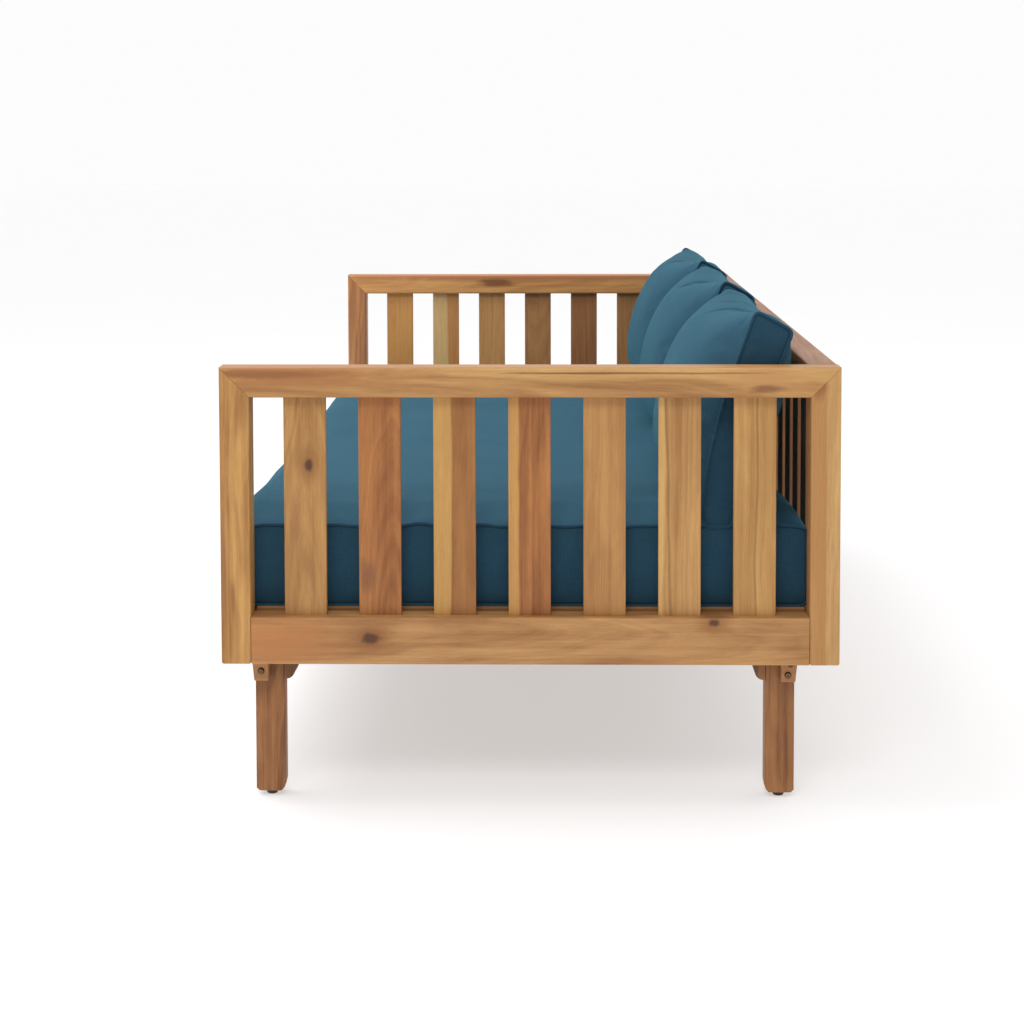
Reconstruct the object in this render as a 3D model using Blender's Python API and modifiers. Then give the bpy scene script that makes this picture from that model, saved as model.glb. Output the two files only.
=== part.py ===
"""A knock-down garden daybed: two slatted end frames, a slatted back, a seat deck and loose cushions.

Run it with blender --background --python part.py, or from Blender's text editor.

Frame: metres, +Z up. +X runs along the length to the right-hand end of somebody facing the seat,
and +Y runs to the back. The origin is on the floor, under the middle of the object's box.
"""

import math

import bmesh
import bpy
from mathutils import Matrix, Vector

# Driving dimensions of the whole
LENGTH = 1.960
DEPTH = 0.905
FRAME_TOP = 0.648
FRAME_BOTTOM = 0.2105
GAP = 0.0003  # between pieces that touch

# Frame members
END_THICK = 0.046  # end frames, along X
SIDE_THICK = 0.043  # front and back rails, along Y
FACE = 0.044  # face width of the posts and the top rails
BOTTOM_RAIL = 0.070  # height of the rails round the seat
EDGE = 0.003  # rounding of the members' edges
EDGE_STEPS = 2
CAP_WELD = 0.0001  # joins a flat outline's caps to its sides
OUTLINE_EDGE_ANGLE = math.radians(50)

# Slats
SLAT_WIDE = 0.062
SLAT_THICK = 0.012
SLAT_EDGE = 0.0015
TENON = 0.008
MORTISE_DEEPER = 0.001
END_SLATS = 7
BACK_SLATS = 17

# Seat deck
DECK_SLATS = 17
DECK_SLAT_THICK = 0.016
DECK_EDGE = 0.002
DECK_CLEAR = 0.002
DECK_TOP_ABOVE_RAIL = 0.005
DECK_END_CLEAR = 0.002  # between the deck's end slats and the end frames
LEDGE_WIDE = 0.020
LEDGE_THICK = 0.025
REAR_LEDGE_WIDE = 0.017
BATTEN_WIDE = 0.040
BATTEN_THICK = 0.016
BATTEN_Y = 0.250
BATTEN_SHORT = 0.004
WELD_DEPTH = 0.0005  # how far glued parts of one piece run into each other
BEAM_SIDE = 0.044

# Legs
LEG_WIDE = 0.0437
LEG_THICK = 0.030
LEG_EDGE = 0.002
LEG_CUT_WIDE = 0.006  # the larger corner cut at the inner side of the foot
LEG_CUT_TALL = 0.014
LEG_CUT_BEND = 1 / 3  # where the cut bends, as a share of its width and height
LEG_OUTER_CUT = 0.004
BRACE_THICK = 0.022
BRACE_WIDE_TOP = 0.040
BRACE_WIDE_FOOT = 0.003
BRACE_BELOW = 0.0335  # how far the brace shows below the end frame
BRACE_ARC = 0.0125
BRACE_ARC_ANGLE = math.radians(63)
BRACE_ARC_STEPS = 5
BLOCK_WIDE = 0.024
BLOCK_THICK = 0.0242
BLOCK_TALL = 0.030
BLOCK_PROUD = 0.0015  # past the leg's outer side
BLOCK_SLANT = 0.003
BLOCK_EDGE = 0.001
GLIDE_TALL = 0.007
GLIDE_TOP_R = 0.0102
GLIDE_FOOT_R = 0.008
GLIDE_EDGE = 0.001
GLIDE_STEPS = 24
GLIDE_WELD = 0.00005  # closes the turned profile on its axis

# Cushions
SEAT_END_CLEAR = 0.006
SEAT_FRONT_Y = -0.438
SEAT_BACK_Y = 0.409
SEAT_SIDE_TALL = 0.123
SEAT_CROWN = 0.0145
SEAT_EDGE = 0.008
SEAT_EDGE_ANGLE = math.radians(60)
SEAT_CUTS = (15, 7, 1)
BACK_CUSHIONS = 3
BACK_CUSHION_GAP = 0.006
BACK_CUSHION_TALL = 0.300
BACK_LEAN = math.radians(17.4)
BACK_FOOT_Y = 0.270
BACK_EDGE_THICK = 0.058
BACK_FRONT_CROWN = 0.078
BACK_REAR_CROWN = 0.030
BACK_TOP_CROWN = 0.012
BACK_ABOVE_SEAT = 0.020
BACK_CUTS = (7, 5, 1)
CROWN_POWER = 2.0  # how the swelling falls towards the long edges
CROWN_SQUARE = 6.0  # and how much later it falls towards the ends

# Worked out from the above
HALF_LENGTH = LENGTH / 2
HALF_DEPTH = DEPTH / 2
END_INNER_X = HALF_LENGTH - END_THICK
SIDE_INNER_Y = HALF_DEPTH - SIDE_THICK
RAIL_TOP = FRAME_BOTTOM + BOTTOM_RAIL
DECK_TOP = RAIL_TOP + DECK_TOP_ABOVE_RAIL
LEDGE_TOP = DECK_TOP - DECK_SLAT_THICK - GAP
TOP_RAIL_LOW = FRAME_TOP - FACE
SEAT_LOW = DECK_TOP + GAP
SEAT_SIDE_TOP = SEAT_LOW + SEAT_SIDE_TALL

SIDES = {"right": 1, "left": -1}
ROWS = {"front": -1, "back": 1}

X_AXIS = Vector((1, 0, 0))
Y_AXIS = Vector((0, 1, 0))
Z_AXIS = Vector((0, 0, 1))

WOOD_LIGHT = (0.60, 0.36, 0.15)
WOOD_MID = (0.50, 0.27, 0.11)
WOOD_DARK = (0.36, 0.18, 0.08)
WOOD_ROUGH = 0.55
FABRIC_TEAL = (0.010, 0.050, 0.075)
FABRIC_ROUGH = 0.95
PLASTIC_BROWN = (0.035, 0.018, 0.012)
PLASTIC_ROUGH = 0.5


def clear_scene():
    for old in list(bpy.data.objects):
        bpy.data.objects.remove(old)


def new_collection(name):
    made = bpy.data.collections.new(name)
    bpy.context.scene.collection.children.link(made)
    return made


def finish(name, colour, roughness):
    """One Principled material, made once for each name."""
    material = bpy.data.materials.get(name) or bpy.data.materials.new(name)
    material.use_nodes = True
    shader = material.node_tree.nodes["Principled BSDF"]
    shader.inputs["Base Color"].default_value = (*colour, 1.0)
    shader.inputs["Roughness"].default_value = roughness
    shader.inputs["Metallic"].default_value = 0.0
    return material


def place(name, data, collection, parent, material=None):
    made = bpy.data.objects.new(name, data)
    collection.objects.link(made)
    made.parent = parent
    if material:
        data.materials.append(material)
    return made


def mesh_from(bm, name):
    mesh = bpy.data.meshes.new(name)
    bm.to_mesh(mesh)
    bm.free()
    return mesh


def aim(along, outward):
    """The rotation that turns local X to `along` and local Z to `outward`."""
    across = outward.cross(along)
    return Matrix((along, across, outward)).transposed().to_euler()


def add_box(bm, low, high):
    """A box from its lowest to its highest corner."""
    size = Vector(high) - Vector(low)
    middle = (Vector(high) + Vector(low)) / 2
    matrix = Matrix.Translation(middle) @ Matrix.Diagonal((*size, 1.0))
    return bmesh.ops.create_cube(bm, size=1.0, matrix=matrix)["verts"]


def bar_mesh(name, length, thick, wide, edge, mitred=(), square=(), steps=EDGE_STEPS):
    """A bar along local X, its outer side at +Z, with rounded edges.

    An end in `mitred` (-1 or 1) is cut at 45 degrees and is longest at the outer side.
    The edges of an end in `square` or `mitred` stay sharp, because it meets another piece there.
    """
    bm = bmesh.new()
    half = Vector((length, thick, wide)) / 2
    add_box(bm, -half, half)
    sharp = set(mitred) | set(square)
    rounded = []
    for joined in bm.edges:
        ends = {round(v.co.x / half.x) for v in joined.verts}
        if len(ends) == 2 or not ends & sharp:
            rounded.append(joined)
    bmesh.ops.bevel(bm, geom=rounded, offset=edge, segments=steps, profile=0.5, affect="EDGES")
    for vertex in bm.verts:
        for end in mitred:
            if abs(vertex.co.x - end * half.x) < edge / 10:
                vertex.co.x -= end * (half.z - vertex.co.z)
    return mesh_from(bm, name)


def boxes_mesh(name, boxes):
    bm = bmesh.new()
    for low, high in boxes:
        add_box(bm, low, high)
    return mesh_from(bm, name)


def end_to_end_places(count, wide, low, high):
    """Middles of `count` pieces of one width, the first and the last right at the ends."""
    pitch = (high - low - wide) / (count - 1)
    return [low + wide / 2 + i * pitch for i in range(count)]


def even_places(count, wide, low, high):
    """Middles of `count` pieces of one width, with equal gaps between them and at both ends."""
    space = (high - low - count * wide) / (count + 1)
    return [low + space + wide / 2 + i * (wide + space) for i in range(count)]


def make_cutter(name, mesh, cutters, parent):
    cutter = place(name, mesh, cutters, parent)
    cutter.hide_render = True
    cutter.display_type = "WIRE"
    return cutter


def boolean(target, tool, operation="DIFFERENCE"):
    modifier = target.modifiers.new(tool.name, "BOOLEAN")
    modifier.operation = operation
    modifier.solver = "EXACT"
    modifier.object = tool


def outline_object(name, points, thick, collection, parent, material, edge):
    """A flat outline in local X and Y, `thick` along local Z, with rounded edges."""
    curve = bpy.data.curves.new(name, "CURVE")
    curve.dimensions = "2D"
    curve.fill_mode = "BOTH"
    curve.extrude = thick / 2
    spline = curve.splines.new("POLY")
    spline.points.add(len(points) - 1)
    for point, (x, y) in zip(spline.points, points):
        point.co = (x, y, 0.0, 1.0)
    spline.use_cyclic_u = True
    made = place(name, curve, collection, parent, material)
    weld = made.modifiers.new("weld_caps", "WELD")
    weld.merge_threshold = CAP_WELD
    bevel = made.modifiers.new("edges", "BEVEL")
    bevel.width = edge
    bevel.segments = 1
    bevel.limit_method = "ANGLE"
    bevel.angle_limit = OUTLINE_EDGE_ANGLE
    return made


def make_empty(name, collection, location=(0, 0, 0), parent=None):
    empty = bpy.data.objects.new(name, None)
    collection.objects.link(empty)
    empty.location = location
    empty.parent = parent
    return empty


# ---------------------------------------------------------------- end frames


def end_slat_boxes(grow):
    """The slats of an end frame in its own coordinates, or with `grow` the mortises round them."""
    low_y, high_y = -HALF_DEPTH + FACE, HALF_DEPTH - FACE
    deeper = MORTISE_DEEPER if grow else 0.0
    low_z = RAIL_TOP - TENON - deeper
    high_z = TOP_RAIL_LOW + TENON + deeper
    half_x = SLAT_THICK / 2 + grow
    half_y = SLAT_WIDE / 2 + grow
    return [
        ((-half_x, y - half_y, low_z), (half_x, y + half_y, high_z))
        for y in even_places(END_SLATS, SLAT_WIDE, low_y, high_y)
    ]


def make_end_frame(side, parts, cutters, root):
    sign = SIDES[side]
    frame = make_empty(f"{side}_end", parts, (sign * (HALF_LENGTH - END_THICK / 2), 0, 0), root)
    wood = finish("frame_wood", WOOD_LIGHT, WOOD_ROUGH)
    mortises = make_cutter(
        f"{side}_end_mortises", boxes_mesh("mortises", end_slat_boxes(GAP)), cutters, frame
    )

    post_mesh = bar_mesh(
        f"{side}_end_post", FRAME_TOP - FRAME_BOTTOM, END_THICK, FACE, EDGE, mitred=(1,)
    )
    for row, outward in ROWS.items():
        post = place(f"{side}_end_{row}_post", post_mesh, parts, frame)
        post.location.y = outward * (HALF_DEPTH - FACE / 2)
        post.location.z = (FRAME_TOP + FRAME_BOTTOM) / 2
        post.rotation_euler = aim(Z_AXIS, outward * Y_AXIS)
    post_mesh.materials.append(wood)

    # The top rail's mitres stop a gap short of the posts' mitres, measured along the rail.
    rail_mesh = bar_mesh(
        f"{side}_end_top_rail", DEPTH - 2 * GAP * math.sqrt(2), END_THICK, FACE, EDGE, mitred=(-1, 1)
    )
    top_rail = place(f"{side}_end_top_rail", rail_mesh, parts, frame, wood)
    top_rail.location.z = FRAME_TOP - FACE / 2
    top_rail.rotation_euler = aim(Y_AXIS, Z_AXIS)
    boolean(top_rail, mortises)

    low_mesh = bar_mesh(
        f"{side}_end_bottom_rail", DEPTH - 2 * FACE - 2 * GAP, END_THICK, BOTTOM_RAIL, EDGE, square=(-1, 1)
    )
    bottom_rail = place(f"{side}_end_bottom_rail", low_mesh, parts, frame, wood)
    bottom_rail.location.z = FRAME_BOTTOM + BOTTOM_RAIL / 2
    bottom_rail.rotation_euler = aim(Y_AXIS, Z_AXIS)
    boolean(bottom_rail, mortises)

    tall = TOP_RAIL_LOW - RAIL_TOP + 2 * TENON
    slat_mesh = bar_mesh(f"{side}_end_slat", tall, SLAT_THICK, SLAT_WIDE, SLAT_EDGE, square=(-1, 1))
    slat_mesh.materials.append(finish("slat_wood", WOOD_MID, WOOD_ROUGH))
    for number, (low, high) in enumerate(end_slat_boxes(0.0), start=1):
        slat = place(f"{side}_end_slat_{number}", slat_mesh, parts, frame)
        slat.location = (Vector(low) + Vector(high)) / 2
        slat.rotation_euler = aim(Z_AXIS, Y_AXIS)


# ---------------------------------------------------------------- back and front


def back_slat_boxes(grow):
    """The slats of the back in its own coordinates, or with `grow` the mortises round them."""
    deeper = MORTISE_DEEPER if grow else 0.0
    low_z = RAIL_TOP - TENON - deeper
    high_z = TOP_RAIL_LOW + TENON + deeper
    half_x = SLAT_WIDE / 2 + grow
    half_y = SLAT_THICK / 2 + grow
    return [
        ((x - half_x, -half_y, low_z), (x + half_x, half_y, high_z))
        for x in even_places(BACK_SLATS, SLAT_WIDE, -END_INNER_X, END_INNER_X)
    ]


def ledge_rail(name, points, parts, parent, outward):
    """A rail along X with a glued ledge for the deck. Local X runs inwards from its outer face."""
    wood = finish("frame_wood", WOOD_LIGHT, WOOD_ROUGH)
    rail = outline_object(name, points, 2 * END_INNER_X - 2 * GAP, parts, parent, wood, EDGE / 2)
    rail.location = (0, outward * HALF_DEPTH, FRAME_BOTTOM)
    rail.rotation_euler = aim(-outward * Y_AXIS, -outward * X_AXIS)
    return rail


def as_mesh(curve_object, parent):
    """The curve object's evaluated shape as a mesh object that can be cut."""
    bpy.context.view_layer.update()
    graph = bpy.context.evaluated_depsgraph_get()
    mesh = bpy.data.meshes.new_from_object(curve_object.evaluated_get(graph))
    bm = bmesh.new()
    bm.from_mesh(mesh)
    bmesh.ops.remove_doubles(bm, verts=bm.verts, dist=CAP_WELD)
    bm.to_mesh(mesh)
    bm.free()
    name = curve_object.name
    matrix = curve_object.matrix_world.copy()
    collection = curve_object.users_collection[0]
    bpy.data.objects.remove(curve_object)
    made = bpy.data.objects.new(name, mesh)
    collection.objects.link(made)
    made.parent = parent
    made.matrix_world = matrix
    return made


def make_back(parts, cutters, root):
    middle_y = HALF_DEPTH - SIDE_THICK / 2
    frame = make_empty("back_frame", parts, (0, middle_y, 0), root)
    mortises = make_cutter(
        "back_mortises", boxes_mesh("back_mortises", back_slat_boxes(GAP)), cutters, frame
    )
    wood = finish("frame_wood", WOOD_LIGHT, WOOD_ROUGH)
    rail_mesh = bar_mesh(
        "back_top_rail", 2 * END_INNER_X - 2 * GAP, SIDE_THICK, FACE, EDGE, square=(-1, 1)
    )
    top_rail = place("back_top_rail", rail_mesh, parts, frame, wood)
    top_rail.location.z = FRAME_TOP - FACE / 2
    boolean(top_rail, mortises)

    ledge_up = LEDGE_TOP - FRAME_BOTTOM
    inner = SIDE_THICK + REAR_LEDGE_WIDE
    section = [(0, 0), (inner, 0), (inner, ledge_up), (SIDE_THICK, ledge_up)]
    section += [(SIDE_THICK, BOTTOM_RAIL), (0, BOTTOM_RAIL)]
    curve = ledge_rail("back_bottom_rail", section, parts, root, 1)
    bottom_rail = as_mesh(curve, root)
    boolean(bottom_rail, mortises)

    tall = TOP_RAIL_LOW - RAIL_TOP + 2 * TENON
    slat_mesh = bar_mesh("back_slat", tall, SLAT_THICK, SLAT_WIDE, SLAT_EDGE, square=(-1, 1))
    slat_mesh.materials.append(finish("slat_wood", WOOD_MID, WOOD_ROUGH))
    for number, (low, high) in enumerate(back_slat_boxes(0.0), start=1):
        slat = place(f"back_slat_{number:02d}", slat_mesh, parts, frame)
        slat.location = (Vector(low) + Vector(high)) / 2
        slat.rotation_euler = aim(Z_AXIS, X_AXIS)


def make_front_rail(parts, root):
    top = LEDGE_TOP - FRAME_BOTTOM
    low = top - LEDGE_THICK
    inner = SIDE_THICK + LEDGE_WIDE
    section = [(0, 0), (SIDE_THICK, 0), (SIDE_THICK, low), (inner, low)]
    section += [(inner, top), (SIDE_THICK, top), (SIDE_THICK, BOTTOM_RAIL), (0, BOTTOM_RAIL)]
    ledge_rail("front_rail", section, parts, root, -1)


# ---------------------------------------------------------------- seat deck


def make_deck(parts, cutters, root):
    """Cross slats on two battens, lifted out as one ladder, and the beam under their middle."""
    wood = finish("deck_wood", WOOD_DARK, WOOD_ROUGH)
    half_y = SIDE_INNER_Y - DECK_CLEAR
    low_z = DECK_TOP - DECK_SLAT_THICK
    half_length = END_INNER_X - DECK_END_CLEAR
    places = end_to_end_places(DECK_SLATS, SLAT_WIDE, -half_length, half_length)
    bm = bmesh.new()
    for x in places:
        add_box(bm, (x - SLAT_WIDE / 2, -half_y, low_z), (x + SLAT_WIDE / 2, half_y, DECK_TOP))
    bmesh.ops.bevel(bm, geom=bm.edges[:], offset=DECK_EDGE, segments=1, profile=0.5, affect="EDGES")
    deck = place("seat_deck", mesh_from(bm, "seat_deck"), parts, root, wood)

    half_x = END_INNER_X - LEG_THICK - BATTEN_SHORT
    battens = [
        (
            (-half_x, y - BATTEN_WIDE / 2, low_z - BATTEN_THICK),
            (half_x, y + BATTEN_WIDE / 2, low_z + WELD_DEPTH),
        )
        for y in (-BATTEN_Y, BATTEN_Y)
    ]
    boolean(deck, make_cutter("deck_battens", boxes_mesh("deck_battens", battens), cutters, root), "UNION")

    beam_mesh = bar_mesh(
        "centre_beam", 2 * END_INNER_X - 2 * GAP, BEAM_SIDE, BEAM_SIDE, EDGE, square=(-1, 1)
    )
    beam = place("centre_beam", beam_mesh, parts, root, wood)
    beam.location.z = low_z - GAP - BEAM_SIDE / 2


# ---------------------------------------------------------------- legs


def leg_outline(tall):
    """Local X from the leg's inner side to its outer side, local Y up from its foot."""
    half = LEG_WIDE / 2
    return [
        (-half, LEG_CUT_TALL),
        (-half + LEG_CUT_WIDE * LEG_CUT_BEND, LEG_CUT_TALL * LEG_CUT_BEND),
        (-half + LEG_CUT_WIDE, 0),
        (half - LEG_OUTER_CUT, 0),
        (half, LEG_OUTER_CUT),
        (half, tall),
        (-half, tall),
    ]


def brace_outline(tall):
    """A corner bracket inside the leg: its free edge slants and ends in a round toe."""
    start = -LEG_WIDE / 2 + WELD_DEPTH
    toe_x = start - BRACE_WIDE_FOOT - BRACE_ARC
    arc = []
    for step in range(BRACE_ARC_STEPS + 1):
        angle = BRACE_ARC_ANGLE * step / BRACE_ARC_STEPS
        x = toe_x + BRACE_ARC - BRACE_ARC * math.sin(angle)
        arc.append((x, BRACE_ARC - BRACE_ARC * math.cos(angle)))
    return [(start, 0)] + arc + [(start - BRACE_WIDE_TOP, tall), (start, tall)]


def make_leg(side, row, parts, cutters, root):
    sign, outward = SIDES[side], ROWS[row]
    name = f"{side}_{row}_leg"
    wood = finish("leg_wood", WOOD_DARK, WOOD_ROUGH)
    clear = SIDE_INNER_Y if row == "front" else SIDE_INNER_Y - REAR_LEDGE_WIDE
    leg_y = clear - GAP - LEG_WIDE / 2
    leg_top = LEDGE_TOP - LEDGE_THICK - GAP if row == "front" else LEDGE_TOP
    leg_x = END_INNER_X - GAP - LEG_THICK / 2
    empty = make_empty(f"{name}_place", parts, (sign * leg_x, outward * leg_y, 0), root)

    turn = aim(outward * Y_AXIS, outward * X_AXIS)
    leg = outline_object(name, leg_outline(leg_top - GLIDE_TALL), LEG_THICK, parts, empty, wood, LEG_EDGE)
    leg.location.z = GLIDE_TALL
    leg.rotation_euler = turn
    leg = as_mesh(leg, empty)

    brace_low = FRAME_BOTTOM - BRACE_BELOW
    brace_tall = leg_top - brace_low - BRACE_THICK / 2
    brace = outline_object(
        f"{name}_brace", brace_outline(brace_tall), BRACE_THICK, cutters, empty, None, LEG_EDGE
    )
    brace.location = (sign * (LEG_THICK - BRACE_THICK) / 2, 0, brace_low)
    brace.rotation_euler = turn
    brace = as_mesh(brace, empty)
    brace.hide_render = True
    brace.display_type = "WIRE"
    boolean(leg, brace, "UNION")

    make_leg_block(name, sign, outward, parts, empty, wood)
    make_glide(name, parts, empty)


def make_leg_block(name, sign, outward, parts, empty, wood):
    """The small block under the end frame that is bolted to the front of the leg."""
    half = BLOCK_WIDE / 2
    points = [(-half, 0), (half - BLOCK_SLANT, 0), (half, BLOCK_TALL), (-half, BLOCK_TALL)]
    block = outline_object(f"{name}_block", points, BLOCK_THICK, parts, empty, wood, BLOCK_EDGE)
    block.location = (
        sign * (LEG_THICK / 2 + GAP + BLOCK_THICK / 2),
        outward * (LEG_WIDE / 2 + BLOCK_PROUD - half),
        FRAME_BOTTOM - GAP - BLOCK_TALL,
    )
    block.rotation_euler = aim(outward * Y_AXIS, outward * X_AXIS)


def make_glide(name, parts, empty):
    """A turned plastic foot under the leg."""
    top = GLIDE_TALL - GAP
    profile = [(0, top), (GLIDE_TOP_R, top), (GLIDE_FOOT_R, GLIDE_EDGE)]
    profile += [(GLIDE_FOOT_R - GLIDE_EDGE, 0), (0, 0)]
    mesh = bpy.data.meshes.new(f"{name}_glide")
    edges = [(i, i + 1) for i in range(len(profile) - 1)]
    mesh.from_pydata([(x, 0, z) for x, z in profile], edges, [])
    glide = place(
        f"{name}_glide", mesh, parts, empty, finish("glide_plastic", PLASTIC_BROWN, PLASTIC_ROUGH)
    )
    screw = glide.modifiers.new("turn", "SCREW")
    screw.angle = math.tau
    screw.steps = GLIDE_STEPS
    screw.render_steps = GLIDE_STEPS
    screw.use_merge_vertices = True
    screw.merge_threshold = GLIDE_WELD
    screw.use_smooth_shade = True


# ---------------------------------------------------------------- cushions


def cushion_mesh(name, size, cuts, low_crown, high_crown, end_crown):
    """A closed cushion centred on the origin: local X wide, local Y tall, local Z thick.

    low_crown and high_crown are how far its two big faces swell, and end_crown how far its top swells.
    """
    bm = bmesh.new()
    half = Vector(size) / 2
    add_box(bm, -half, half)
    for axis, count in enumerate(cuts):
        across = [e for e in bm.edges if abs(e.verts[0].co[axis] - e.verts[1].co[axis]) > half[axis]]
        bmesh.ops.subdivide_edges(bm, edges=across, cuts=count, use_grid_fill=True)
    for vertex in bm.verts:
        u, v, w = (vertex.co[i] / half[i] for i in range(3))
        along = 1 - abs(u) ** CROWN_SQUARE
        vertex.co.z += (high_crown if w > 0 else low_crown) * w * along * (1 - abs(v) ** CROWN_POWER)
        vertex.co.y += end_crown * max(v, 0.0) ** 2 * along * (1 - w * w)
    return mesh_from(bm, name)


def make_seat_cushion(parts, root):
    fabric = finish("seat_fabric", FABRIC_TEAL, FABRIC_ROUGH)
    size = (2 * (END_INNER_X - SEAT_END_CLEAR), SEAT_BACK_Y - SEAT_FRONT_Y, SEAT_SIDE_TALL)
    mesh = cushion_mesh("seat_cushion", size, SEAT_CUTS, 0.0, SEAT_CROWN, 0.0)
    cushion = place("seat_cushion", mesh, parts, root, fabric)
    cushion.location = (0, (SEAT_FRONT_Y + SEAT_BACK_Y) / 2, SEAT_LOW + SEAT_SIDE_TALL / 2)
    bevel = cushion.modifiers.new("edges", "BEVEL")
    bevel.width = SEAT_EDGE
    bevel.segments = 1
    bevel.limit_method = "ANGLE"
    bevel.angle_limit = SEAT_EDGE_ANGLE


def make_back_cushions(parts, root):
    fabric = finish("back_fabric", FABRIC_TEAL, FABRIC_ROUGH)
    pitch = 2 * END_INNER_X / BACK_CUSHIONS
    size = (pitch - BACK_CUSHION_GAP, BACK_CUSHION_TALL, BACK_EDGE_THICK)
    mesh = cushion_mesh(
        "back_cushion", size, BACK_CUTS, BACK_REAR_CROWN, BACK_FRONT_CROWN, BACK_TOP_CROWN
    )
    mesh.materials.append(fabric)
    foot = Vector((0, BACK_FOOT_Y, SEAT_SIDE_TOP + BACK_ABOVE_SEAT))
    up = Vector((0, math.sin(BACK_LEAN), math.cos(BACK_LEAN)))
    forward = X_AXIS.cross(up)
    for number, name in enumerate(("left", "middle", "right")):
        cushion = place(f"{name}_back_cushion", mesh, parts, root)
        cushion.location = foot + up * BACK_CUSHION_TALL / 2 + X_AXIS * (number - 1) * pitch
        cushion.rotation_euler = Matrix((X_AXIS, up, forward)).transposed().to_euler()


def main():
    clear_scene()
    parts = new_collection("daybed")
    cutters = new_collection("daybed_cutters")
    root = make_empty("daybed_root", parts)
    for side in SIDES:
        make_end_frame(side, parts, cutters, root)
    make_back(parts, cutters, root)
    make_front_rail(parts, root)
    make_deck(parts, cutters, root)
    for side in SIDES:
        for row in ROWS:
            make_leg(side, row, parts, cutters, root)
    make_seat_cushion(parts, root)
    make_back_cushions(parts, root)


main()
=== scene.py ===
"""Looks of the garden daybed: oiled acacia frame, corded cushions in dark teal cloth, bolts and screws.

Metres, +Z up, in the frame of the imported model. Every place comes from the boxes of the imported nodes.
"""

import math

import bmesh
import bpy
import numpy as np
from mathutils import Matrix, Vector, noise
from mathutils.bvhtree import BVHTree


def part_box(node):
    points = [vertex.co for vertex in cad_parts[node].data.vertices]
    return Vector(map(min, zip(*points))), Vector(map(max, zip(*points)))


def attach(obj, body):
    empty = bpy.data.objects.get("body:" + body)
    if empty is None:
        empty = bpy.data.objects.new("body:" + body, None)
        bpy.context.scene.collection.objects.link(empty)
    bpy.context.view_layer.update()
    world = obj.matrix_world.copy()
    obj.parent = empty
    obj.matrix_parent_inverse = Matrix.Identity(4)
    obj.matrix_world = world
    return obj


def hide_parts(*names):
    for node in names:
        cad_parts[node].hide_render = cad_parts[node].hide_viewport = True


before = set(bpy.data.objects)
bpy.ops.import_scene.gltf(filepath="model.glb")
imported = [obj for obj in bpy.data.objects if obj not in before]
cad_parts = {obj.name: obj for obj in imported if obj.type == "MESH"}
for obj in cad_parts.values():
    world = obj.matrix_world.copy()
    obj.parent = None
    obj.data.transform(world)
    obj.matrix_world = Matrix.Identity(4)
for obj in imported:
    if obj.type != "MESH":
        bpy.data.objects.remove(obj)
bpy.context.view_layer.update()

# ---------------------------------------------------------------- small helpers


def linear(red, green, blue):
    """Display values from 0 to 255 as the linear colour that shaders take."""
    out = []
    for value in (red, green, blue):
        value /= 255
        out.append(value / 12.92 if value <= 0.04045 else ((value + 0.055) / 1.055) ** 2.4)
    return (*out, 1.0)


def place_in_scene(name, data):
    made = bpy.data.objects.new(name, data)
    bpy.context.scene.collection.objects.link(made)
    return made


def new_mesh_object(name, points, faces):
    mesh = bpy.data.meshes.new(name)
    mesh.from_pydata([tuple(p) for p in points], [], [tuple(f) for f in faces])
    mesh.validate()
    mesh.update()
    return place_in_scene(name, mesh)


def coordinates(mesh):
    values = np.empty(len(mesh.vertices) * 3)
    mesh.vertices.foreach_get("co", values)
    return values.reshape(-1, 3)


def set_coordinates(mesh, points):
    mesh.vertices.foreach_set("co", np.asarray(points, np.float32).ravel())
    mesh.update()


# ---------------------------------------------------------------- shader helpers


class NodeTree:
    """Short ways to add to a node tree. An input is a socket, which is linked, or a plain value."""

    def __init__(self, inner):
        self.inner = inner
        self.link = inner.links.new

    def add(self, kind, inputs=None, **settings):
        made = self.inner.nodes.new(kind)
        for key, value in settings.items():
            setattr(made, key, value)
        for key, value in (inputs or {}).items():
            if isinstance(value, bpy.types.NodeSocket):
                self.link(value, made.inputs[key])
            else:
                made.inputs[key].default_value = value
        return made

    def math(self, operation, *values):
        return self.add("ShaderNodeMath", dict(enumerate(values)), operation=operation).outputs[0]

    def vector(self, operation, *values):
        return self.add("ShaderNodeVectorMath", dict(enumerate(values)), operation=operation).outputs[0]

    def length(self, vector):
        return self.add("ShaderNodeVectorMath", {0: vector}, operation="LENGTH").outputs["Value"]

    def split(self, vector):
        return self.add("ShaderNodeSeparateXYZ", {0: vector}).outputs

    def join(self, *values):
        return self.add("ShaderNodeCombineXYZ", dict(enumerate(values))).outputs[0]

    def noise(self, vector, scale, detail=2.0, roughness=0.5, output=0):
        inputs = {"Vector": vector, "Scale": scale, "Detail": detail, "Roughness": roughness}
        return self.add("ShaderNodeTexNoise", inputs).outputs[output]

    def swirl(self, vector, detail, roughness):
        """Noise with a direction, about zero."""
        return self.vector("SUBTRACT", self.noise(vector, 1.0, detail, roughness, output=1), (0.5, 0.5, 0.5))

    def line_noise(self, place, scale):
        inputs = {"W": place, "Scale": scale, "Detail": 2.0, "Roughness": 0.6}
        return self.add("ShaderNodeTexNoise", inputs, noise_dimensions="1D").outputs[0]

    def ramp(self, value, low, high, to_low=0.0, to_high=1.0):
        """A smooth step of value from low to high."""
        inputs = {"Value": value, 1: low, 2: high, 3: to_low, 4: to_high}
        return self.add("ShaderNodeMapRange", inputs, interpolation_type="SMOOTHSTEP").outputs[0]

    def blend(self, factor, first, second, how="MIX"):
        inputs = {0: factor, 6: first, 7: second}
        return self.add("ShaderNodeMix", inputs, data_type="RGBA", blend_type=how).outputs[2]

    def place(self):
        return self.add("ShaderNodeTexCoord").outputs["Object"]


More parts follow.
